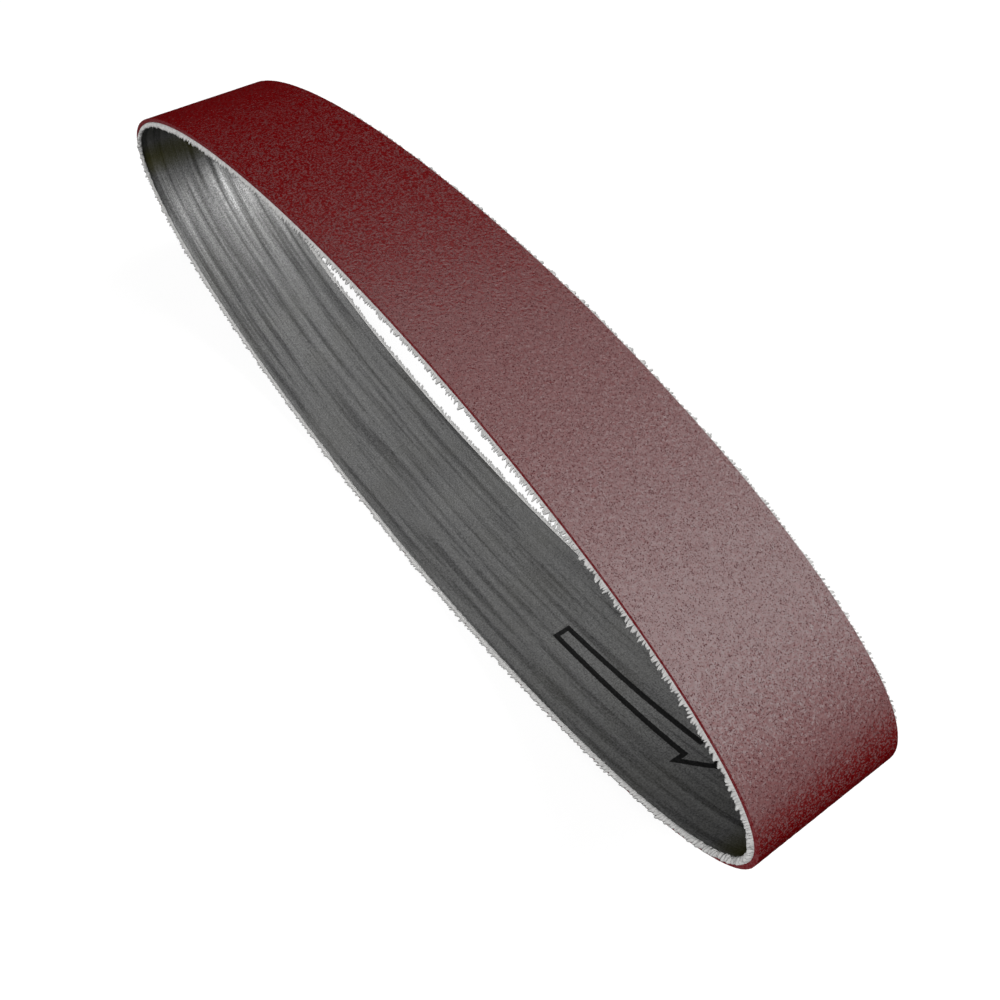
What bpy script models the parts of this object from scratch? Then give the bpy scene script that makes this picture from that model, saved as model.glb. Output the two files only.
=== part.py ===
"""Endless cloth sanding belt, lying on its lower run.

Metres, +Z up. X runs across the belt and Y along the loop. The origin is the middle of the flat spot
that the belt lies on. The loop is a flattened ring: its abrasive face follows an ellipse, and each
layer below that face follows the same ellipse at its own depth.
"""

import math

import bmesh
import bpy
from mathutils import Vector

# The belt
BELT_WIDTH = 0.040
BELT_LENGTH = 0.675  # once round the abrasive face
LOOP_HEIGHT = 0.098  # of the ellipse, before the belt settles on its flat spot
REST_FLAT_LENGTH = 0.024

# Layers, from the abrasive face inwards
COAT_THICKNESS = 0.0009
BACKING_THICKNESS = 0.0013
TAPE_THICKNESS = 0.0002

# Tape over the slanted joint of the two cloth ends, on the inner face of the upper run
TAPE_WIDTH = 0.020
SPLICE_ANGLE = math.radians(65)  # between the joint and the belt's edges

# Running-direction arrow, printed in outline on the inner face of the lower run
ARROW_START = 0.0673  # along the inner face, from the middle of the flat spot to the arrow's tail
ARROW_LENGTH = 0.0635
ARROW_HEAD_LENGTH = 0.0105
ARROW_HEAD_WIDTH = 0.0138
ARROW_TAIL_WIDTH = 0.0054
ARROW_NECK_WIDTH = 0.0066
ARROW_LINE_WIDTH = 0.0013
ARROW_SIDE_OFFSET = -0.0011  # from the belt's centre line, towards the near edge

# Fineness of the loop
LOOP_STEPS = 240
SOLVER_ROUNDS = 60
CUT_TOLERANCE = 1e-7

# Depths of the layers' faces below the abrasive face
CLOTH_DEPTH = COAT_THICKNESS
INNER_DEPTH = CLOTH_DEPTH + BACKING_THICKNESS
TAPE_DEPTH = INNER_DEPTH + TAPE_THICKNESS

# Stations round the loop at a quarter turn each, starting at the +Y end
TOP_STEP = LOOP_STEPS // 4
NEAR_END_STEP = LOOP_STEPS // 2
BOTTOM_STEP = LOOP_STEPS * 3 // 4

# Material slots of the backing
CLOTH, CUT_CLOTH, INK = range(3)


def ellipse_length(half_long, half_high):
    """Length once round an ellipse."""
    turn = 2 * math.pi / LOOP_STEPS
    angles = [turn * step for step in range(LOOP_STEPS)]
    return turn * sum(math.hypot(half_long * math.sin(a), half_high * math.cos(a)) for a in angles)


def solve_half_long(half_high):
    """Half of the loop's reach in Y, at which the abrasive face is BELT_LENGTH once round."""
    low = 0.0
    high = BELT_LENGTH / 2
    for _ in range(SOLVER_ROUNDS):
        middle = (low + high) / 2
        if ellipse_length(middle, half_high) < BELT_LENGTH:
            low = middle
        else:
            high = middle
    return high


HALF_HIGH = LOOP_HEIGHT / 2
HALF_LONG = solve_half_long(HALF_HIGH)
REST_SINK = HALF_HIGH * (1 - math.sqrt(1 - (REST_FLAT_LENGTH / 2 / HALF_LONG) ** 2))


def loop_point(step, depth):
    """Place of a station in the YZ plane, at a depth below the abrasive face."""
    angle = 2 * math.pi * step / LOOP_STEPS
    face = Vector((0.0, HALF_LONG * math.cos(angle), HALF_HIGH * math.sin(angle)))
    outward = Vector((0.0, math.cos(angle) / HALF_LONG, math.sin(angle) / HALF_HIGH)).normalized()
    point = face - depth * outward
    point.z = max(point.z + HALF_HIGH - REST_SINK, depth)
    return point


def add_layer(bm, steps, outer_depth, inner_depth, closed):
    """Solid layer between two depths, along a run of stations. Returns its inner and its edge faces."""
    rows = []
    for step in steps:
        corners = []
        for side, depth in ((-1, outer_depth), (1, outer_depth), (1, inner_depth), (-1, inner_depth)):
            across = Vector((side * BELT_WIDTH / 2, 0.0, 0.0))
            corners.append(bm.verts.new(loop_point(step, depth) + across))
        rows.append(corners)
    next_rows = rows[1:] + rows[:1] if closed else rows[1:]
    inner_faces = []
    edge_faces = []
    for row, next_row in zip(rows, next_rows):
        for side in range(4):
            other = (side + 1) % 4
            face = bm.faces.new((row[side], row[other], next_row[other], next_row[side]))
            if side == 2:
                inner_faces.append(face)
            elif side % 2:
                edge_faces.append(face)
    if not closed:
        bm.faces.new(rows[0])
        bm.faces.new(rows[-1])
    bmesh.ops.recalc_face_normals(bm, faces=bm.faces)
    return inner_faces, edge_faces


class LowerInnerFace:
    """Inner face of the lower run, unrolled: along it from the flat spot towards the near end."""

    def __init__(self):
        steps = range(BOTTOM_STEP, NEAR_END_STEP, -1)
        self.points = [loop_point(step, INNER_DEPTH) for step in steps]
        self.alongs = [0.0]
        for point, next_point in zip(self.points, self.points[1:]):
            self.alongs.append(self.alongs[-1] + (next_point - point).length)

    def place(self, across, along):
        """Point in space of a place on the unrolled face, and the way that the face runs there."""
        last = len(self.alongs) - 2
        i = next((n for n in range(last) if along < self.alongs[n + 1]), last)
        run = (self.points[i + 1] - self.points[i]).normalized()
        return self.points[i] + run * (along - self.alongs[i]) + Vector((across, 0.0, 0.0)), run

    def along(self, y):
        """Way along the face to the place over a given y."""
        last = len(self.points) - 2
        i = next((n for n in range(last) if y > self.points[n + 1].y), last)
        share = (y - self.points[i].y) / (self.points[i + 1].y - self.points[i].y)
        return self.alongs[i] + share * (self.alongs[i + 1] - self.alongs[i])


def arrow_outline(inset):
    """Corners (across, along) of the printed arrow on the unrolled face, moved inwards by inset."""
    neck_along = ARROW_LENGTH - ARROW_HEAD_LENGTH + inset
    slant = math.hypot(ARROW_HEAD_WIDTH / 2, ARROW_HEAD_LENGTH) / (ARROW_HEAD_WIDTH / 2)
    tip_along = ARROW_LENGTH - inset * slant
    barb = (tip_along - neck_along) * ARROW_HEAD_WIDTH / 2 / ARROW_HEAD_LENGTH
    side = [
        (ARROW_TAIL_WIDTH / 2 - inset, inset),
        (ARROW_NECK_WIDTH / 2 - inset, neck_along),
        (barb, neck_along),
    ]
    other_side = [(-across, along) for across, along in reversed(side)]
    corners = side + [(0.0, tip_along)] + other_side
    return [(ARROW_SIDE_OFFSET + across, ARROW_START + along) for across, along in corners]


def outline_sides(outline):
    return list(zip(outline, outline[1:] + outline[:1]))


def outline_holds(outline, across, along):
    """Whether a place is inside an outline: it then looks out across an odd number of sides."""
    crossed = 0
    for (across_a, along_a), (across_b, along_b) in outline_sides(outline):
        if (along_a > along) != (along_b > along):
            share = (along - along_a) / (along_b - along_a)
            crossed += across < across_a + share * (across_b - across_a)
    return crossed % 2 == 1


def print_arrow(bm, inner_faces):
    """Cuts the arrow's two outlines into the inner face and gives the line between them to the ink."""
    unrolled = LowerInnerFace()
    outlines = [arrow_outline(inset) for inset in (0.0, ARROW_LINE_WIDTH)]
    first = unrolled.place(0.0, ARROW_START)[0].y
    last = unrolled.place(0.0, ARROW_START + ARROW_LENGTH)[0].y
    for face in inner_faces:
        ys = [vert.co.y for vert in face.verts]
        if face.calc_center_median().z < HALF_HIGH and max(ys) > last and min(ys) < first:
            face.material_index = INK
    for outline in outlines:
        for start, end in outline_sides(outline):
            start_point, start_run = unrolled.place(*start)
            end_point, end_run = unrolled.place(*end)
            upright = Vector((1.0, 0.0, 0.0)).cross(start_run + end_run)
            panel = [face for face in bm.faces if face.material_index == INK]
            parts = {part for face in panel for part in (face, *face.edges, *face.verts)}
            bmesh.ops.bisect_plane(
                bm,
                geom=sorted(parts, key=lambda part: (type(part).__name__, part.index)),
                dist=CUT_TOLERANCE,
                plane_co=start_point,
                plane_no=(end_point - start_point).cross(upright),
            )
            bm.verts.index_update()
            bm.edges.index_update()
            bm.faces.index_update()
    for face in bm.faces:
        if face.material_index == INK:
            middle = face.calc_center_median()
            place = (middle.x, unrolled.along(middle.y))
            on_line = outline_holds(outlines[0], *place) and not outline_holds(outlines[1], *place)
            face.material_index = INK if on_line else CLOTH


def add_object(name, bm, materials):
    mesh = bpy.data.meshes.new(name)
    bm.to_mesh(mesh)
    bm.free()
    for material in materials:
        mesh.materials.append(material)
    mesh.shade_smooth()
    mesh.set_sharp_from_angle(angle=math.radians(30))
    bpy.context.collection.objects.link(bpy.data.objects.new(name, mesh))


def make_material(name, colour, roughness):
    material = bpy.data.materials.new(name)
    material.diffuse_color = (*colour, 1.0)
    material.use_nodes = True
    shader = material.node_tree.nodes["Principled BSDF"]
    shader.inputs["Base Color"].default_value = (*colour, 1.0)
    shader.inputs["Roughness"].default_value = roughness
    shader.inputs["Metallic"].default_value = 0.0
    return material


def build_coat():
    """Abrasive grain in its resin bond, all round the outer face of the cloth."""
    bm = bmesh.new()
    add_layer(bm, range(LOOP_STEPS), 0.0, CLOTH_DEPTH, closed=True)
    add_object("abrasive_coat", bm, [make_material("crimson_grain", (0.16, 0.02, 0.022), 0.75)])


def build_backing():
    """Grey cloth with pale cut edges, and the arrow printed on its inner face."""
    bm = bmesh.new()
    inner_faces, edge_faces = add_layer(bm, range(LOOP_STEPS), CLOTH_DEPTH, INNER_DEPTH, closed=True)
    for face in edge_faces:
        face.material_index = CUT_CLOTH
    print_arrow(bm, inner_faces)
    cloth = make_material("grey_cloth", (0.12, 0.12, 0.12), 0.9)
    cut_cloth = make_material("pale_cut_cloth", (0.52, 0.51, 0.5), 0.95)
    ink = make_material("black_ink", (0.008, 0.008, 0.008), 0.7)
    add_object("cloth_backing", bm, [cloth, cut_cloth, ink])


def build_tape():
    """Film tape over the splice: a strip of the layer inside the cloth, trimmed along the joint."""
    bm = bmesh.new()
    steps = range(TOP_STEP // 2, TOP_STEP * 3 // 2 + 1)
    add_layer(bm, steps, INNER_DEPTH, TAPE_DEPTH, closed=False)
    square_to_joint = Vector((math.cos(SPLICE_ANGLE), -math.sin(SPLICE_ANGLE), 0.0))
    for side in (-1, 1):
        trimmed = bmesh.ops.bisect_plane(
            bm,
            geom=bm.verts[:] + bm.edges[:] + bm.faces[:],
            dist=CUT_TOLERANCE,
            plane_co=side * TAPE_WIDTH / 2 * square_to_joint,
            plane_no=side * square_to_joint,
            clear_outer=True,
        )
        rim = [part for part in trimmed["geom_cut"] if isinstance(part, bmesh.types.BMEdge)]
        bmesh.ops.edgeloop_fill(bm, edges=rim)
    bmesh.ops.recalc_face_normals(bm, faces=bm.faces)
    add_object("splice_tape", bm, [make_material("tape_film", (0.42, 0.4, 0.35), 0.35)])


def main():
    for item in list(bpy.data.objects):
        bpy.data.objects.remove(item, do_unlink=True)
    build_coat()
    build_backing()
    build_tape()


main()
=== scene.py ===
"""Looks of the endless cloth sanding belt: its grain, its cloth, its frayed edges and its splice tape.

Metres, +Z up. X runs across the belt, from the near cut edge to the far one, and Y along the loop.
"""

import math

import bmesh
import bpy
import numpy as np
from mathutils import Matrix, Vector


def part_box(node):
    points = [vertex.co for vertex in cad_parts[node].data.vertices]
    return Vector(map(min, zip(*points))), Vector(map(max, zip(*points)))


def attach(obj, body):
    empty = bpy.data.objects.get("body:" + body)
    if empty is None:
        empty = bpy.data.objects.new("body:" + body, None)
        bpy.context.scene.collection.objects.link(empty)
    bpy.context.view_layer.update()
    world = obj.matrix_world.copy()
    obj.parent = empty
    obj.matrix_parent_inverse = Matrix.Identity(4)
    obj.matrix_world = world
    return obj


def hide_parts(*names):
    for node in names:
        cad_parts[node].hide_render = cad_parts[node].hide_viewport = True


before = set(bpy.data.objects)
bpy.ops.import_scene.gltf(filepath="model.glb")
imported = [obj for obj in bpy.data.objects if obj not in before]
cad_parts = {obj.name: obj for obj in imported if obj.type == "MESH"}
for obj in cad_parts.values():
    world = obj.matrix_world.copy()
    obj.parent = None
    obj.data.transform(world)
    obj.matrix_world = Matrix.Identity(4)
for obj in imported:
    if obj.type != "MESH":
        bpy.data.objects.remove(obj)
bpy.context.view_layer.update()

MM = 0.001


def colour(red, green, blue):
    """Opaque colour in linear light."""
    return (red, green, blue, 1.0)


# The loop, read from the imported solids
_, COAT_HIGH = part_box("abrasive_coat")
_, CLOTH_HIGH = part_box("cloth_backing")
_, TAPE_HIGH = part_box("splice_tape")
HALF_WIDTH = COAT_HIGH[0]
HALF_LONG = COAT_HIGH[1]
LOOP_TOP = COAT_HIGH[2]
CLOTH_DEPTH = LOOP_TOP - CLOTH_HIGH[2]
INNER_DEPTH = LOOP_TOP - TAPE_HIGH[2]

# The loop's ellipse, before the belt settles on its flat spot
HALF_HIGH = 49 * MM
LOOP_MIDDLE = LOOP_TOP - HALF_HIGH
CURVE_SAMPLES = 20000

# How closely what swells at the loop's two bends keeps to them
BEND_POWER = 6

# Kinds of surface in a piece: its face, and what its cut edge shows
FACE_KIND = 0
CUT_KIND = 1

# Grain, as small flat facets, and the resin that runs over the cloth's near cut edge
COAT_SEED = 11
GRAIN_PITCH = 0.6 * MM
GRAIN_RELIEF = 0.018 * MM
GRAIN_SCATTER = 0.22 * MM
GRAIN_DEPTH = 0.04 * MM
FACET_SIZE = 0.34 * MM
FACET_TILT = 0.28
CLUMP_SIZE = 1.4 * MM
PIT_SIZE = 0.19 * MM
PIT_SHARES = (0.2, 0.28)
GRAIN_REDS = (colour(0.113, 0.0006, 0.0012), colour(0.145, 0.0015, 0.002))
BARE_GRAIN_RED = colour(0.14, 0.028, 0.029)
CLUMP_RED = colour(0.11, 0.001, 0.0015)
# Painted shade in the grain's small pits: these cells are painted a darker red.
PIT_SHADE_RED = colour(0.06, 0.002, 0.004)
SHEEN_TINT = colour(0.8, 1.0, 1.0)
SHEEN_FADE = (0.26, 0.68)
SHEEN_LEVELS = (0.16, 0.68)
COAT_LIP = 0.2 * MM
RESIN_RUN = 0.2 * MM
RESIN_RUN_AT_ENDS = 0.25 * MM
SPECK_SIZE = 0.25 * MM
CUT_COAT_RELIEF = 0.05 * MM
CUT_COAT_REDS = (colour(0.105, 0.001, 0.003), colour(0.16, 0.003, 0.006))
CUT_GRAIN_RED = colour(0.18, 0.04, 0.044)

# Cloth
CLOTH_SEED = 23
CLOTH_STATIONS = 420
CLOTH_COLUMNS = 120
RIDGE_HEIGHT = 0.025 * MM
RIDGE_RUN = 14
CUT_EDGE_ROWS = 4
CUT_EDGE_ROUGHNESS = 0.05 * MM
YARN_END_SIZE = 0.3 * MM
YARN_END_RELIEF = 0.08 * MM
CUT_CLOTH_PATCH_SIZE = 2.5 * MM
CUT_CLOTH_GREYS = (colour(0.42, 0.415, 0.405), colour(0.6, 0.595, 0.58))
CUT_CLOTH_PATCH_GREY = colour(0.46, 0.455, 0.44)

# Inner face of the cloth: streaks and yarns to a metre, along the belt and across it, nap and patches
STREAKS_PER_METRE = (15.0, 430.0, 1.0)
YARNS_PER_METRE = (90.0, 2300.0, 1.0)
YARN_WEIGHT = 1.5
NAP_SIZE = 0.45 * MM
NAP_RELIEF = 0.07 * MM
PATCH_SIZE = 14 * MM
STREAK_GREYS = (colour(0.006, 0.006, 0.006), colour(0.036, 0.036, 0.035))
STREAK_ROUGHNESSES = (0.64, 0.48)
STREAK_SHINES = (0.48, 1.44)
NAP_GREY = colour(0.06, 0.06, 0.06)
NAP_SHINES = (0.62, 1.38)
PATCH_GREY = colour(0.035, 0.034, 0.026)
CLOTH_SHEEN_FADE = (0.1, 0.9)

# At the loop's two bends the inner face is painted darker and slightly olive, over these stretches of Y:
# painted shade, with a painted reflection as its olive tint
FAR_BEND_SHADE = (148.6 * MM, 150.4 * MM)
NEAR_BEND_SHADE = (-141.0 * MM, -149.0 * MM)
PAINTED_BEND_SHADE_OLIVE = colour(0.05, 0.048, 0.006)

# Frayed edges: tufts of yarn, broad where they leave the cloth and narrow at the tip. A tuft takes this
# share of the cloth's thickness, swells into the loop at the two bends and hangs this way in Y and Z.
TUFT_SHARE = 0.75
SWELL_AT_ENDS = 0.7 * MM
DROOP_WAY = (0.45, -0.89)
FLOOR_CLEARANCE = 0.03 * MM

# A tuft's cross-sections at its root and waist: the share of its reach where they lie, and their share of
# its breadth. The depth of the root is a share of the tuft's own.
TUFT_ROOT = (-0.3, 1.05)
TUFT_WAIST = (0.45, 0.85)
TUFT_ROOT_DEPTH = 0.98
TUFT_CORNERS = ((1, 1), (1, -1), (-1, -1), (-1, 1))

# How unlike the tufts are: least and most lean along the belt, hang, reach out of the edge and swelling
LEAN_RANGE = (-0.1, 0.6)
HANG_RANGE = (0.8, 1.2)
OUT_RANGE = (0.75, 1.25)
SWELL_RANGE = (0.6, 1.2)

# The tufts of each edge. The tip is a share of a tuft's breadth, and out and droop are shares of its reach.
NEAR_TUFTS = {
    "seed": 37,
    "breadths": (0.4 * MM, 0.9 * MM),
    "reaches": (0.8 * MM, 1.7 * MM),
    "tip": 0.4,
    "out": 0.55,
    "droop": 0.85,
}
FAR_TUFTS = {
    "seed": 41,
    "breadths": (0.4 * MM, 0.9 * MM),
    "reaches": (1.1 * MM, 1.5 * MM),
    "tip": 0.55,
    "out": 1.0,
    "droop": -0.2,
}

# Loose yarn scatters light almost evenly: a share of its own normal is added to one fixed way
YARN_NORMAL_SHARE = 0.4
YARN_SCATTER_WAY = (-0.15, -0.1, 0.6)
YARN_PATCH_SIZE = 1.1 * MM
FIBRE_SIZE = 0.12 * MM
FIBRE_RELIEF = 0.03 * MM
YARN_GREYS = (colour(0.46, 0.457, 0.45), colour(0.62, 0.615, 0.605))

# Splice tape, on the inner face of the upper run
TAPE_THICKNESS = 0.2 * MM
TAPE_WIDTH = 20 * MM
SPLICE_ANGLE = math.radians(65)
TAPE_COLUMNS = 40
TAPE_ROWS = 24
THREAD_ANGLES = (50, -50)
THREAD_PITCH = 0.55 * MM
THREAD_SHARPNESS = 8.0
THREAD_SHARE = 0.6
THREAD_RELIEF = 0.05 * MM
THREAD_COLOUR = colour(0.6, 0.58, 0.52)
FILM_COLOURS = (colour(0.36, 0.34, 0.29), colour(0.45, 0.43, 0.38))
HAZE_SIZE = 3 * MM

# Running-direction arrow on the inner face of the lower run
ARROW_START = 67.3 * MM
ARROW_LENGTH = 63.5 * MM
ARROW_HEAD_LENGTH = 11.0 * MM
ARROW_HEAD_WIDTH = 13.8 * MM
ARROW_TAIL_WIDTH = 5.7 * MM
ARROW_NECK_WIDTH = 6.8 * MM
ARROW_LINE_WIDTH = 1.5 * MM
ARROW_SIDE_OFFSET = -1.2 * MM
INK_SOFTNESS = 0.12 * MM
INK_BLEED = 0.35 * MM
INK_BLEED_SIZE = 0.5 * MM
INK_BLACK = colour(0.003, 0.003, 0.003)
# The ink takes away this share of the gloss, and so does the painted shade at the loop's two bends.
INK_AND_BEND_SHADE_DULLNESS = 0.9

# Camera, fitted to the belt's outline in the photograph
CAMERA_PLACE = (-104.95 * MM, -183.55 * MM, 253.24 * MM)
CAMERA_PITCH = -50.627
CAMERA_YAW = 54.5512
CAMERA_LENS = 37.303
CAMERA_SENSOR = 36.0
CAMERA_CLIP = (0.01, 50.0)

# Floor, and how much brighter the camera sees it
FLOOR_SIZE = 6.0
FLOOR_LIFT = 0.85
FLOOR_PATCH_SIZE = 30 * MM
FLOOR_GREYS = (colour(0.21, 0.21, 0.21), colour(0.23, 0.23, 0.23))

# Light: the grey all round, and lamps by name, way from the belt, distance, size and power
WHITE = colour(1.0, 1.0, 1.0)
WORLD_STRENGTH = 0.08
LIGHT_TARGET = (0.0, 0.0, 0.045)
LIGHTS = [
    ("key", (0.4, -0.39, 0.8), 3.0, 1.5, 53),
    ("front", (-0.42, -0.27, 0.86), 3.0, 1.5, 48),
    ("fill", (-0.9, -0.25, 0.26), 1.0, 0.5, 4.6),
]

PLACE_MAP = "belt_place"


def loop_curve(angles, depth):
    """Points (y, z) of the loop at a depth below the abrasive face, and the way out of the loop there."""
    outward = np.stack([np.cos(angles) / HALF_LONG, np.sin(angles) / HALF_HIGH], axis=-1)
    outward /= np.linalg.norm(outward, axis=-1, keepdims=True)
    points = np.stack([HALF_LONG * np.cos(angles), HALF_HIGH * np.sin(angles)], axis=-1)
    points = points - np.asarray(depth)[..., None] * outward
    points[..., 1] = np.maximum(points[..., 1] + LOOP_MIDDLE, depth)
    return points, outward


def even_angles(depth, shares):
    """Angles of places round the loop, given as shares of its length, and their ways along it.

    The first place is the top of the upper run. The way along is counted from the middle of the flat
    spot, and it grows towards the near end.
    """
    angles = np.linspace(math.pi / 2, math.pi * 5 / 2, CURVE_SAMPLES + 1)
    points, _ = loop_curve(angles, np.full_like(angles, depth))
    steps = np.linalg.norm(np.diff(points, axis=0), axis=1)
    ways = np.concatenate([[0.0], np.cumsum(steps)])
    length = ways[-1]
    return np.interp(shares * length, ways, angles), length / 2 - shares * length


def loop_length(depth):
    """Length of the loop at a depth below the abrasive face."""
    _, ends = even_angles(depth, np.array([0.0, 1.0]))
    return ends[0] - ends[1]


def at_bends(angles):
    """1 at the middle of the loop's two bends, and close to 0 along its two runs."""
    return np.cos(angles) ** BEND_POWER


def mesh_object(name, points, faces, materials, face_materials=None, places=None, smooth=True):
    """Object of a mesh given as arrays. places are the ways along and across of each face's corners."""
    mesh = bpy.data.meshes.new(name)
    mesh.from_pydata(points.tolist(), [], faces.tolist())
    if places is not None:
        layer = mesh.uv_layers.new(name=PLACE_MAP)
        layer.uv.foreach_set("vector", places.astype(np.float32).ravel())
    for material in materials:
        mesh.materials.append(material)
    if face_materials is not None:
        mesh.polygons.foreach_set("material_index", face_materials.astype(np.int32))
    mesh.polygons.foreach_set("use_smooth", np.full(len(faces), smooth))
    mesh.update()
    made = bpy.data.objects.new(name, mesh)
    bpy.context.collection.objects.link(made)
    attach(made, "root")
    return made


def band_faces(stations, columns):
    """Corners of the faces of a band that closes both ways, as (station, column) pairs."""
    station, column = np.meshgrid(np.arange(stations), np.arange(columns), indexing="ij")
    corners = [(station, column), (station, column + 1), (station + 1, column + 1), (station + 1, column)]
    rows = np.stack([corner[0] for corner in corners], axis=-1).reshape(-1, 4)
    turns = np.stack([corner[1] for corner in corners], axis=-1).reshape(-1, 4)
    return rows, turns


def split_quads(rows, turns, random):
    """Two triangles for each quad, cut along either diagonal."""
    first = np.array([[0, 1, 2], [0, 2, 3]])
    second = np.array([[0, 1, 3], [1, 2, 3]])
    picks = np.where(random.random(len(rows))[:, None, None] < 0.5, first, second)
    return [np.take_along_axis(each[:, None, :], picks, axis=2).reshape(-1, 3) for each in (rows, turns)]


def make_band(name, grid, alongs, acrosses, strip_materials, materials, random=None):
    """Closed solid swept round the loop. grid[station, column] are the points of its cross-sections.

    With random its faces are triangles that stay flat, and without it quads that are shaded smooth.
    """
    stations, columns = grid.shape[:2]
    rows, turns = band_faces(stations, columns)
    if random is not None:
        rows, turns = split_quads(rows, turns, random)
    faces = (rows % stations) * columns + turns % columns
    all_alongs = np.append(alongs, alongs[0] - loop_length(INNER_DEPTH))
    all_acrosses = np.append(acrosses, acrosses[0])
    places = np.stack([all_alongs[rows], all_acrosses[turns]], axis=-1)
    kinds = np.asarray(strip_materials)[turns.min(axis=1)]
    return mesh_object(name, grid.reshape(-1, 3), faces, materials, kinds, places, random is None)


class Recipe:
    """A material, and short calls that add nodes to it."""

    def __init__(self, name):
        self.material = bpy.data.materials.new(name)
        self.material.use_nodes = True
        self.tree = self.material.node_tree
        self.surface = self.tree.nodes["Principled BSDF"]

    def set(self, socket, value):
        if isinstance(value, bpy.types.NodeSocket):
            self.tree.links.new(value, socket)
        else:
            socket.default_value = value

    def node(self, kind, inputs=None, **settings):
        made = self.tree.nodes.new("ShaderNode" + kind)
        for name, value in settings.items():
            setattr(made, name, value)
        for name, value in (inputs or {}).items():
            self.set(made.inputs[name], value)
        return made

    def math(self, operation, first, second=0.0):
        return self.node("Math", {0: first, 1: second}, operation=operation).outputs[0]

    def vector(self, operation, first, second):
        made = self.node("VectorMath", {0: first, 1: second}, operation=operation)
        return made.outputs["Value" if operation == "DOT_PRODUCT" else "Vector"]

    def mix(self, share, first, second):
        made = self.node("Mix", data_type="RGBA")
        for socket, value in zip((made.inputs[0], made.inputs[6], made.inputs[7]), (share, first, second)):
            self.set(socket, value)
        return made.outputs[2]

    def ramp(self, value, low, high):
        """0 below low, 1 above high."""
        inputs = {"Value": value, "From Min": low, "From Max": high}
        return self.node("MapRange", inputs, clamp=True).outputs["Result"]

    def spread(self, value, low, high, at_low, at_high):
        """at_low below low, at_high above high, and even steps between."""
        inputs = {"Value": value, "From Min": low, "From Max": high, "To Min": at_low, "To Max": at_high}
        return self.node("MapRange", inputs, clamp=True).outputs["Result"]

    def noise(self, vector, size, detail=2.0, roughness=0.5):
        inputs = {"Vector": vector, "Scale": 1 / size, "Detail": detail, "Roughness": roughness}
        return self.node("TexNoise", inputs).outputs["Fac"]

    def object_place(self):
        return self.node("TexCoord").outputs["Object"]

    def belt_place(self):
        return self.node("UVMap", uv_map=PLACE_MAP).outputs["UV"]

    def unit(self, way):
        return self.node("VectorMath", {0: way}, operation="NORMALIZE").outputs["Vector"]

    def own_normal(self):
        return self.node("NewGeometry").outputs["Normal"]

    def bump(self, height, distance, normal=None):
        made = self.node("Bump", {"Height": height, "Distance": distance, "Strength": 1.0})
        if normal is not None:
            self.set(made.inputs["Normal"], normal)
        return made.outputs["Normal"]

    def finish(self, **inputs):
        for name, value in inputs.items():
            self.set(self.surface.inputs[name.replace("_", " ")], value)
        return self.material


def squareness(recipe, low, high):
    """0 where a face is seen nearly edge on, 1 where it is seen nearly square on."""
    facing = recipe.node("LayerWeight", {"Blend": 0.5}).outputs["Facing"]
    return recipe.ramp(recipe.math("SUBTRACT", 1.0, facing), low, high)


def grain_material():
    """Crimson grain: dull red resin over hard grains, whose small facets catch the light one by one, with
    painted shade in small pits.
    """
    recipe = Recipe("crimson_grain")
    place = recipe.object_place()
    clumps = recipe.noise(place, CLUMP_SIZE, detail=3)
    cells = recipe.node("TexVoronoi", {"Vector": place, "Scale": 1 / FACET_SIZE})
    apart = recipe.node("SeparateColor", {"Color": cells.outputs["Color"]})
    red = recipe.mix(apart.outputs["Red"], *GRAIN_REDS)
    red = recipe.mix(recipe.ramp(apart.outputs["Green"], 0.65, 0.9), red, BARE_GRAIN_RED)
    red = recipe.mix(recipe.ramp(clumps, 0.45, 0.95), red, CLUMP_RED)
    tilt = recipe.vector("SUBTRACT", cells.outputs["Color"], (0.5, 0.5, 0.5))
    tilt = recipe.vector("MULTIPLY", tilt, (FACET_TILT, FACET_TILT, FACET_TILT))
    facet = recipe.vector("ADD", recipe.own_normal(), tilt)
    hiding = recipe.spread(apart.outputs["Green"], 0.54, 0.64, 5.0, 0.66)
    pits = recipe.node("TexVoronoi", {"Vector": place, "Scale": 1 / PIT_SIZE}).outputs["Color"]
    # Painted shade: the pit cells are painted a darker red, and their gloss is lowered.
    red = recipe.mix(recipe.ramp(pits, *PIT_SHARES), PIT_SHADE_RED, red)
    glint = recipe.spread(pits, *PIT_SHARES, *SHEEN_LEVELS)
    level = recipe.math("MULTIPLY", recipe.math("POWER", squareness(recipe, *SHEEN_FADE), hiding), glint)
    rough = recipe.spread(clumps, 0.3, 0.7, 0.6, 0.66)
    return recipe.finish(
        Base_Color=red,
        Roughness=rough,
        IOR=2.1,
        Specular_IOR_Level=level,
        Specular_Tint=SHEEN_TINT,
        Normal=recipe.unit(facet),
    )


def coat_edge_material():
    """Cut edge of the coat: dark red resin with the cut grains as paler specks."""
    recipe = Recipe("coat_cut_edge")
    place = recipe.object_place()
    specks = recipe.noise(place, SPECK_SIZE)
    grains = recipe.node("TexVoronoi", {"Vector": place, "Scale": 1 / FACET_SIZE})
    red = recipe.mix(specks, *CUT_COAT_REDS)
    red = recipe.mix(recipe.ramp(grains.outputs["Color"], 0.5, 0.7), red, CUT_GRAIN_RED)
    return recipe.finish(
        Base_Color=red,
        Roughness=0.8,
        Specular_IOR_Level=0.2,
        Normal=recipe.bump(specks, CUT_COAT_RELIEF),
    )


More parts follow.
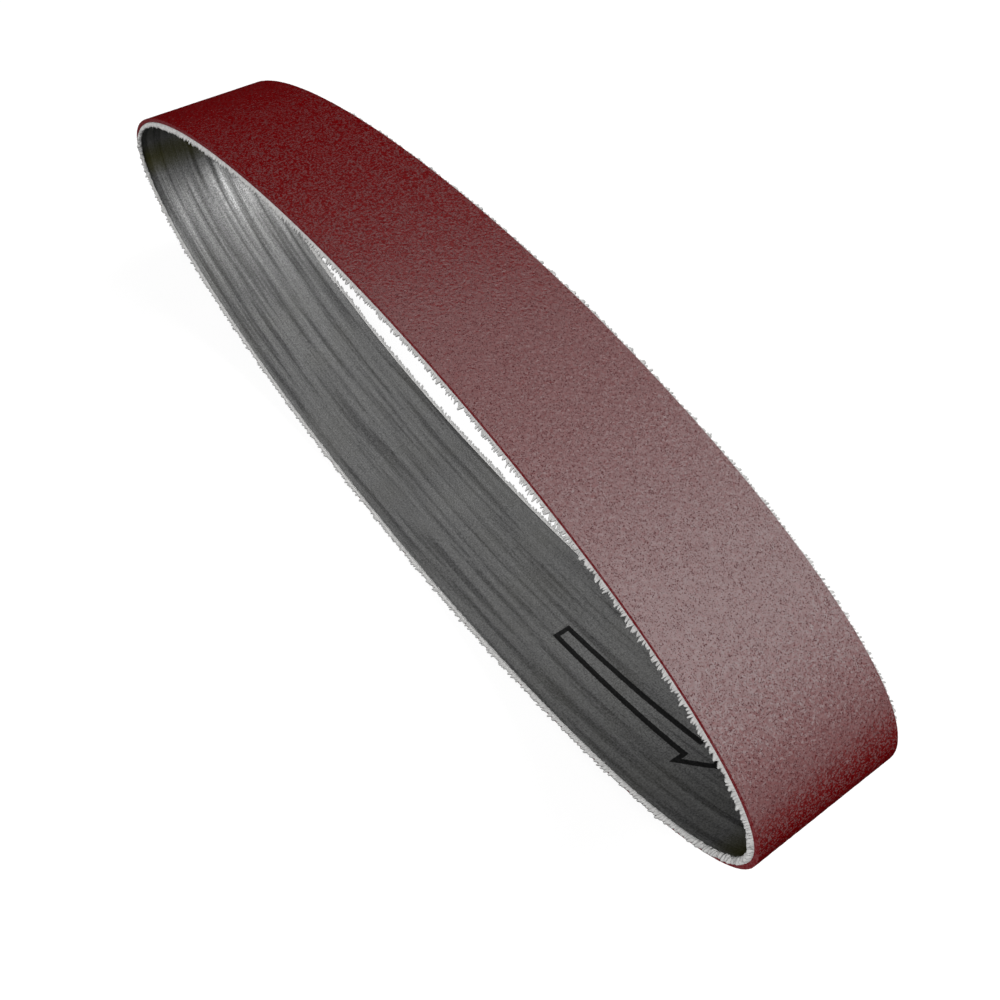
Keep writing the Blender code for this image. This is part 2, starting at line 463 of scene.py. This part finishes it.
def arrow_ink(recipe, place):
    """How much ink lies at a place: an arrow in outline, a tapered shaft joined to a triangular head."""
    apart = recipe.node("SeparateXYZ", {"Vector": place})
    along = recipe.math("SUBTRACT", apart.outputs["X"], ARROW_START)
    across = recipe.math("ABSOLUTE", recipe.math("SUBTRACT", apart.outputs["Y"], ARROW_SIDE_OFFSET))
    spot = recipe.node("CombineXYZ", {"X": along, "Y": across}).outputs["Vector"]
    neck = ARROW_LENGTH - ARROW_HEAD_LENGTH

    def inside(start, end):
        """Distance into the half plane on the arrow's side of a line."""
        way = (Vector(end) - Vector(start)).normalized()
        inward = Vector((way.y, -way.x, 0.0))
        reach = -inward.xy.dot(Vector(start))
        return recipe.math("ADD", recipe.vector("DOT_PRODUCT", spot, inward), reach)

    def both(first, second):
        return recipe.math("MINIMUM", first, second)

    shaft_side = inside((0.0, ARROW_TAIL_WIDTH / 2), (neck, ARROW_NECK_WIDTH / 2))
    shaft_tail = inside((0.0, 0.0), (0.0, ARROW_TAIL_WIDTH / 2))
    shaft_end = recipe.math("SUBTRACT", neck + 2 * ARROW_LINE_WIDTH, along)
    head_base = inside((neck, 0.0), (neck, ARROW_HEAD_WIDTH / 2))
    head_side = inside((neck, ARROW_HEAD_WIDTH / 2), (ARROW_LENGTH, 0.0))
    shaft_walls = both(shaft_side, shaft_tail)
    head_walls = both(head_base, head_side)
    outer = recipe.math("MAXIMUM", both(shaft_walls, shaft_end), head_walls)
    inner_shaft = both(recipe.math("SUBTRACT", shaft_walls, ARROW_LINE_WIDTH), shaft_end)
    inner = recipe.math("MAXIMUM", inner_shaft, recipe.math("SUBTRACT", head_walls, ARROW_LINE_WIDTH))
    line = both(outer, recipe.math("MULTIPLY", inner, -1.0))
    bleed = recipe.math("SUBTRACT", recipe.noise(recipe.object_place(), INK_BLEED_SIZE), 0.5)
    line = recipe.math("ADD", line, recipe.math("MULTIPLY", bleed, INK_BLEED))
    return recipe.ramp(line, -INK_SOFTNESS / 2, INK_SOFTNESS / 2)


def cloth_material():
    """Inner face of the cloth: dull with resin, with streaks along the yarns, nap, the arrow's ink and
    painted shade at the loop's two bends.
    """
    recipe = Recipe("grey_cloth")
    place = recipe.belt_place()
    spot = recipe.object_place()
    broad = recipe.noise(recipe.vector("MULTIPLY", place, STREAKS_PER_METRE), 1.0, detail=2)
    yarns = recipe.noise(recipe.vector("MULTIPLY", place, YARNS_PER_METRE), 1.0, detail=2)
    nap = recipe.noise(spot, NAP_SIZE, detail=2, roughness=0.6)
    patches = recipe.noise(spot, PATCH_SIZE, detail=1)
    streak = recipe.ramp(broad, 0.37, 0.63)
    grey = recipe.mix(streak, *STREAK_GREYS)
    grey = recipe.mix(recipe.ramp(nap, 0.4, 0.8), grey, NAP_GREY)
    grey = recipe.mix(recipe.ramp(patches, 0.4, 1.2), grey, PATCH_GREY)
    ink = arrow_ink(recipe, place)
    grey = recipe.mix(ink, grey, INK_BLACK)
    y = recipe.node("SeparateXYZ", {"Vector": spot}).outputs["Y"]
    # Painted shade at the loop's two bends: the inner face is painted darker there, tinted olive as a
    # painted reflection, and loses most of its gloss.
    turn = recipe.math("MAXIMUM", recipe.ramp(y, *FAR_BEND_SHADE), recipe.ramp(y, *NEAR_BEND_SHADE))
    grey = recipe.mix(turn, grey, PAINTED_BEND_SHADE_OLIVE)
    height = recipe.math("ADD", recipe.math("MULTIPLY", yarns, YARN_WEIGHT), nap)
    rough = recipe.spread(streak, 0.0, 1.0, *STREAK_ROUGHNESSES)
    dull = recipe.math("MULTIPLY", recipe.math("MAXIMUM", ink, turn), INK_AND_BEND_SHADE_DULLNESS)
    bare = recipe.math("SUBTRACT", 1.0, dull)
    nap_shine = recipe.spread(nap, 0.35, 0.65, *NAP_SHINES)
    shine = recipe.math("MULTIPLY", nap_shine, recipe.spread(streak, 0.0, 1.0, *STREAK_SHINES))
    fade = squareness(recipe, *CLOTH_SHEEN_FADE)
    level = recipe.math("MULTIPLY", recipe.math("MULTIPLY", shine, bare), fade)
    return recipe.finish(
        Base_Color=grey,
        Roughness=rough,
        IOR=2.42,
        Specular_IOR_Level=level,
        Normal=recipe.bump(height, NAP_RELIEF),
    )


def cut_cloth_material():
    """Cut edge of the cloth: pale raw yarn ends."""
    recipe = Recipe("pale_cut_cloth")
    place = recipe.object_place()
    ends = recipe.noise(place, YARN_END_SIZE, detail=2)
    wide = recipe.noise(place, CUT_CLOTH_PATCH_SIZE, detail=1)
    pale = recipe.mix(ends, *CUT_CLOTH_GREYS)
    pale = recipe.mix(recipe.ramp(wide, 0.3, 0.9), pale, CUT_CLOTH_PATCH_GREY)
    return recipe.finish(
        Base_Color=pale,
        Roughness=0.95,
        Specular_IOR_Level=0.15,
        Normal=recipe.bump(ends, YARN_END_RELIEF),
    )


def yarn_material():
    """Loose pale fibres of the frayed edge, which scatter light almost evenly whatever way they lie."""
    recipe = Recipe("pale_yarn")
    place = recipe.object_place()
    tufts = recipe.noise(place, YARN_PATCH_SIZE, detail=2)
    fine = recipe.noise(place, FIBRE_SIZE, detail=1)
    pale = recipe.mix(recipe.ramp(tufts, 0.3, 0.7), *YARN_GREYS)
    own_share = (YARN_NORMAL_SHARE, YARN_NORMAL_SHARE, YARN_NORMAL_SHARE)
    lie = recipe.vector("ADD", recipe.vector("MULTIPLY", recipe.own_normal(), own_share), YARN_SCATTER_WAY)
    return recipe.finish(
        Base_Color=pale,
        Roughness=0.95,
        Specular_IOR_Level=0.15,
        Normal=recipe.bump(fine, FIBRE_RELIEF, normal=recipe.unit(lie)),
    )


def tape_material():
    """Satin film with fine crossed threads in it."""
    recipe = Recipe("tape_film")
    place = recipe.belt_place()
    threads = []
    for angle in THREAD_ANGLES:
        way = (math.cos(math.radians(angle)), math.sin(math.radians(angle)), 0.0)
        run = recipe.math("MULTIPLY", recipe.vector("DOT_PRODUCT", place, way), math.pi / THREAD_PITCH)
        wave = recipe.math("ABSOLUTE", recipe.math("SINE", run))
        threads.append(recipe.math("POWER", wave, THREAD_SHARPNESS))
    threads = recipe.math("MAXIMUM", *threads)
    haze = recipe.noise(recipe.object_place(), HAZE_SIZE, detail=3)
    film = recipe.mix(recipe.ramp(haze, 0.3, 0.7), *FILM_COLOURS)
    film = recipe.mix(recipe.math("MULTIPLY", threads, THREAD_SHARE), film, THREAD_COLOUR)
    rough = recipe.spread(haze, 0.3, 0.7, 0.28, 0.42)
    return recipe.finish(Base_Color=film, Roughness=rough, Normal=recipe.bump(threads, THREAD_RELIEF))


def build_coat():
    """Abrasive coat, with its grains as facets of its outer face."""
    random = np.random.default_rng(COAT_SEED)
    stations = round(loop_length(0.0) / GRAIN_PITCH)
    shares = np.arange(stations) / stations
    columns = round(2 * HALF_WIDTH / GRAIN_PITCH)
    acrosses = np.linspace(-HALF_WIDTH, HALF_WIDTH, columns + 1)
    across = np.tile(acrosses, (stations, 1))
    across[:, 1:-1] += random.uniform(-GRAIN_SCATTER, GRAIN_SCATTER, (stations, columns - 1))
    across[:, 0] -= COAT_LIP
    scatter = random.uniform(-GRAIN_SCATTER, GRAIN_SCATTER, (stations, columns + 1)) / loop_length(0.0)
    angles, _ = even_angles(0.0, np.mod(shares[:, None] + scatter, 1.0).ravel())
    relief = np.clip(random.normal(GRAIN_DEPTH, GRAIN_RELIEF, (stations, columns + 1)), 0.0, None)
    face, _ = loop_curve(angles, relief.ravel())
    face = face.reshape(stations, columns + 1, 2)
    _, alongs = even_angles(INNER_DEPTH, shares)
    even, _ = even_angles(0.0, shares)
    run = RESIN_RUN + RESIN_RUN_AT_ENDS * at_bends(even)
    far_back, _ = loop_curve(even, np.full(stations, CLOTH_DEPTH))
    near_back, _ = loop_curve(even, CLOTH_DEPTH + run)
    outer = np.concatenate([across[..., None], face], axis=-1)
    inner = [
        np.column_stack([np.full(stations, HALF_WIDTH), far_back]),
        np.column_stack([np.full(stations, -HALF_WIDTH), far_back]),
        np.column_stack([np.full(stations, -HALF_WIDTH), near_back]),
        np.column_stack([np.full(stations, -HALF_WIDTH - COAT_LIP), near_back]),
    ]
    grid = np.concatenate([outer, np.stack(inner, axis=1)], axis=1)
    strips = [FACE_KIND] * columns + [CUT_KIND] * (len(inner) + 1)
    ring = np.append(acrosses, [HALF_WIDTH, -HALF_WIDTH, -HALF_WIDTH, -HALF_WIDTH])
    materials = [grain_material(), coat_edge_material()]
    coat = make_band("grain_coat", grid, alongs, ring, strips, materials, random)
    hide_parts("abrasive_coat")
    return coat


def ridges(random, stations, columns):
    """Heights of the cloth's lengthwise ridges: random across, and slowly changing along."""
    knots = stations // RIDGE_RUN
    rough = random.normal(0.0, 1.0, (knots, columns))
    rough = (np.roll(rough, 1, axis=1) + 2 * rough + np.roll(rough, -1, axis=1)) / 4
    places = np.arange(stations) / RIDGE_RUN
    low = places.astype(int) % knots
    share = (places % 1.0)[:, None]
    share = share * share * (3 - 2 * share)
    return (1 - share) * rough[low] + share * rough[(low + 1) % knots]


def build_cloth():
    """Cloth backing: ridged inner face and rough cut edges."""
    random = np.random.default_rng(CLOTH_SEED)
    shares = np.arange(CLOTH_STATIONS) / CLOTH_STATIONS
    angles, alongs = even_angles(INNER_DEPTH, shares)
    inner_across = np.linspace(-HALF_WIDTH, HALF_WIDTH, CLOTH_COLUMNS + 1)
    edge_depths = np.linspace(INNER_DEPTH, CLOTH_DEPTH, CUT_EDGE_ROWS + 1)[1:]
    ring_across = np.concatenate([
        inner_across,
        np.full(CUT_EDGE_ROWS, HALF_WIDTH),
        np.full(CUT_EDGE_ROWS, -HALF_WIDTH),
    ])
    ring_depth = np.concatenate([np.full(CLOTH_COLUMNS + 1, INNER_DEPTH), edge_depths, edge_depths[::-1]])
    depth = np.tile(ring_depth, (CLOTH_STATIONS, 1))
    heights = ridges(random, CLOTH_STATIONS, CLOTH_COLUMNS + 1)
    depth[:, : CLOTH_COLUMNS + 1] -= RIDGE_HEIGHT * np.abs(heights)
    across = np.tile(ring_across, (CLOTH_STATIONS, 1))
    rough = random.uniform(0.0, CUT_EDGE_ROUGHNESS, (CLOTH_STATIONS, 2 * CUT_EDGE_ROWS))
    across[:, CLOTH_COLUMNS + 1 :] += rough * np.sign(ring_across[CLOTH_COLUMNS + 1 :])
    points, _ = loop_curve(np.repeat(angles, len(ring_across)), depth.ravel())
    grid = np.concatenate([across[..., None], points.reshape(*across.shape, 2)], axis=-1)[:, ::-1]
    strips = [CUT_KIND] * (2 * CUT_EDGE_ROWS) + [FACE_KIND] * CLOTH_COLUMNS + [CUT_KIND]
    materials = [cloth_material(), cut_cloth_material()]
    cloth = make_band("woven_cloth", grid, alongs, ring_across[::-1], strips, materials)
    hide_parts("cloth_backing")
    return cloth


def prism_faces(rings):
    """Corners of the faces of a four-sided prism: its sides, ring by ring, and its two ends."""
    sides = [
        (start + turn, start + (turn + 1) % 4, start + 4 + (turn + 1) % 4, start + 4 + turn)
        for start in range(0, 4 * (rings - 1), 4)
        for turn in range(4)
    ]
    last = 4 * (rings - 1)
    return np.array(sides + [(3, 2, 1, 0), (last, last + 1, last + 2, last + 3)])


def build_fray(name, side, tufts, material):
    """Tufts that stand out of one cut edge of the cloth: bent prisms that narrow to the tip."""
    random = np.random.default_rng(tufts["seed"])
    half_depth = TUFT_SHARE * (INNER_DEPTH - CLOTH_DEPTH) / 2
    middle_depth = INNER_DEPTH - half_depth
    length = loop_length(middle_depth)
    breadths = random.uniform(*tufts["breadths"], round(2 * length / sum(tufts["breadths"])))
    breadths *= length / breadths.sum()
    ways = np.cumsum(breadths) - breadths / 2
    count = len(ways)
    reach = random.uniform(*tufts["reaches"], count)
    lean = random.uniform(*LEAN_RANGE, count)
    hang = tufts["droop"] * random.uniform(*HANG_RANGE, count)
    out = tufts["out"] * random.uniform(*OUT_RANGE, count)
    angles, _ = even_angles(middle_depth, np.mod(ways / length, 1.0))
    swell = SWELL_AT_ENDS * at_bends(angles) * random.uniform(*SWELL_RANGE, count)
    rings = [TUFT_ROOT, TUFT_WAIST, (1.0, tufts["tip"])]
    corners = []
    for share, taper in rings:
        bend = share * abs(share)
        for along, inward in TUFT_CORNERS:
            depth = middle_depth + inward * half_depth * (taper if share > 0 else TUFT_ROOT_DEPTH)
            if inward > 0 and share < 1:
                depth = depth + swell
            spot, outward = loop_curve(angles, depth)
            forward = np.stack([-outward[:, 1], outward[:, 0]], axis=-1)
            spot = spot + forward * (along * breadths / 2 * taper + lean * reach * bend)[:, None]
            spot = spot + np.outer(hang * reach * bend, DROOP_WAY)
            spot[:, 1] = np.maximum(spot[:, 1], FLOOR_CLEARANCE)
            x = side * (HALF_WIDTH + out * reach * share)
            corners.append(np.column_stack([x, spot]))
    points = np.stack(corners, axis=1)
    pattern = prism_faces(len(rings))
    if side < 0:
        pattern = pattern[:, ::-1]
    faces = (np.arange(count)[:, None, None] * len(corners) + pattern).reshape(-1, 4)
    fray = mesh_object(name, points.reshape(-1, 3), faces, [material])
    return fray


def build_tape():
    """Thin film over the slanted splice, following the inner face of the upper run."""
    sheets = []
    span = np.linspace(-1.0, 1.0, TAPE_ROWS + 1)
    across = np.linspace(-HALF_WIDTH, HALF_WIDTH, TAPE_COLUMNS + 1)
    y = (across * math.cos(SPLICE_ANGLE) + span[:, None] * TAPE_WIDTH / 2) / math.sin(SPLICE_ANGLE)
    x = np.tile(across, (TAPE_ROWS + 1, 1))
    upper = np.linspace(0.0, math.pi, CURVE_SAMPLES)
    for depth in (INNER_DEPTH, INNER_DEPTH + TAPE_THICKNESS):
        curve, _ = loop_curve(upper, np.full_like(upper, depth))
        z = np.interp(y, curve[::-1, 0], curve[::-1, 1])
        sheets.append(np.stack([x, y, z], axis=-1))
    grid = np.concatenate([sheets[0], sheets[1][:, ::-1]], axis=1)
    stations, columns = grid.shape[:2]
    rows, turns = band_faces(stations - 1, columns)
    faces = rows * columns + turns % columns
    places = grid.reshape(-1, 3)[faces][..., [1, 0]]
    tape = mesh_object("splice_film", grid.reshape(-1, 3), faces, [tape_material()], places=places)
    close_ends(tape, [range(columns), range((stations - 1) * columns, stations * columns)])
    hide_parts("splice_tape")
    return tape


def close_ends(made, ends):
    """Fills the open rings at the two ends of a strip and turns all faces outwards."""
    bm = bmesh.new()
    bm.from_mesh(made.data)
    bm.verts.ensure_lookup_table()
    half = len(ends[0]) // 2
    for ring in ends:
        ring = list(ring)
        for i in range(half - 1):
            corners = (ring[i], ring[i + 1], ring[-2 - i], ring[-1 - i])
            bm.faces.new([bm.verts[corner] for corner in corners])
    bmesh.ops.recalc_face_normals(bm, faces=bm.faces)
    bm.to_mesh(made.data)
    bm.free()


def build_floor():
    """Plain floor. What the camera sees of it is lifted to white, and a soft shadow stays on it."""
    bpy.ops.mesh.primitive_plane_add(size=FLOOR_SIZE, location=(0.0, 0.0, 0.0))
    floor = bpy.context.object
    floor.name = "floor"
    recipe = Recipe("white_floor")
    path = recipe.node("LightPath")
    seen = recipe.math("MAXIMUM", path.outputs["Is Camera Ray"], path.outputs["Is Transmission Ray"])
    patches = recipe.noise(recipe.object_place(), FLOOR_PATCH_SIZE)
    recipe.finish(
        Base_Color=recipe.mix(patches, *FLOOR_GREYS),
        Roughness=0.9,
        Specular_IOR_Level=0.0,
        Emission_Color=WHITE,
        Emission_Strength=recipe.math("MULTIPLY", seen, FLOOR_LIFT),
    )
    floor.data.materials.append(recipe.material)


def add_area_light(name, way, distance, size, power):
    """Soft square lamp that stands in a direction from the belt and faces it."""
    lamp = bpy.data.lights.new(name, "AREA")
    lamp.shape = "SQUARE"
    lamp.size = size
    lamp.energy = power
    made = bpy.data.objects.new(name, lamp)
    way = Vector(way).normalized()
    made.location = Vector(LIGHT_TARGET) + way * distance
    made.rotation_mode = "QUATERNION"
    made.rotation_quaternion = way.to_track_quat("Z", "Y")
    bpy.context.collection.objects.link(made)


def light_world():
    """Even grey light from all round, behind a backdrop that the camera sees as white."""
    world = bpy.data.worlds.new("studio")
    world.use_nodes = True
    tree = world.node_tree
    background = tree.nodes["Background"]
    background.inputs["Color"].default_value = WHITE
    path = tree.nodes.new("ShaderNodeLightPath")
    seen = tree.nodes.new("ShaderNodeMath")
    seen.operation = "MAXIMUM"
    tree.links.new(path.outputs["Is Camera Ray"], seen.inputs[0])
    tree.links.new(path.outputs["Is Transmission Ray"], seen.inputs[1])
    level = tree.nodes.new("ShaderNodeMapRange")
    level.inputs["To Min"].default_value = WORLD_STRENGTH
    level.inputs["To Max"].default_value = 1.0
    tree.links.new(seen.outputs[0], level.inputs["Value"])
    tree.links.new(level.outputs["Result"], background.inputs["Strength"])
    bpy.context.scene.world = world


def add_camera():
    """Camera that looks down at the belt from the photograph's place, with no roll."""
    camera = bpy.data.cameras.new("camera")
    camera.lens = CAMERA_LENS
    camera.sensor_width = CAMERA_SENSOR
    camera.clip_start, camera.clip_end = CAMERA_CLIP
    made = bpy.data.objects.new("camera", camera)
    made.location = CAMERA_PLACE
    made.rotation_euler = (math.radians(90 + CAMERA_PITCH), 0.0, math.radians(CAMERA_YAW - 90))
    bpy.context.collection.objects.link(made)
    bpy.context.scene.camera = made


build_coat()
cloth = build_cloth()
yarn = yarn_material()
near_fray = build_fray("frayed_near_edge", -1, NEAR_TUFTS, yarn)
far_fray = build_fray("frayed_far_edge", 1, FAR_TUFTS, yarn)
build_tape()
inner_length = loop_length((CLOTH_DEPTH + INNER_DEPTH) / 2)

build_floor()
light_world()
for light in LIGHTS:
    add_area_light(*light)
add_camera()
bpy.context.scene.view_settings.view_transform = "Standard"
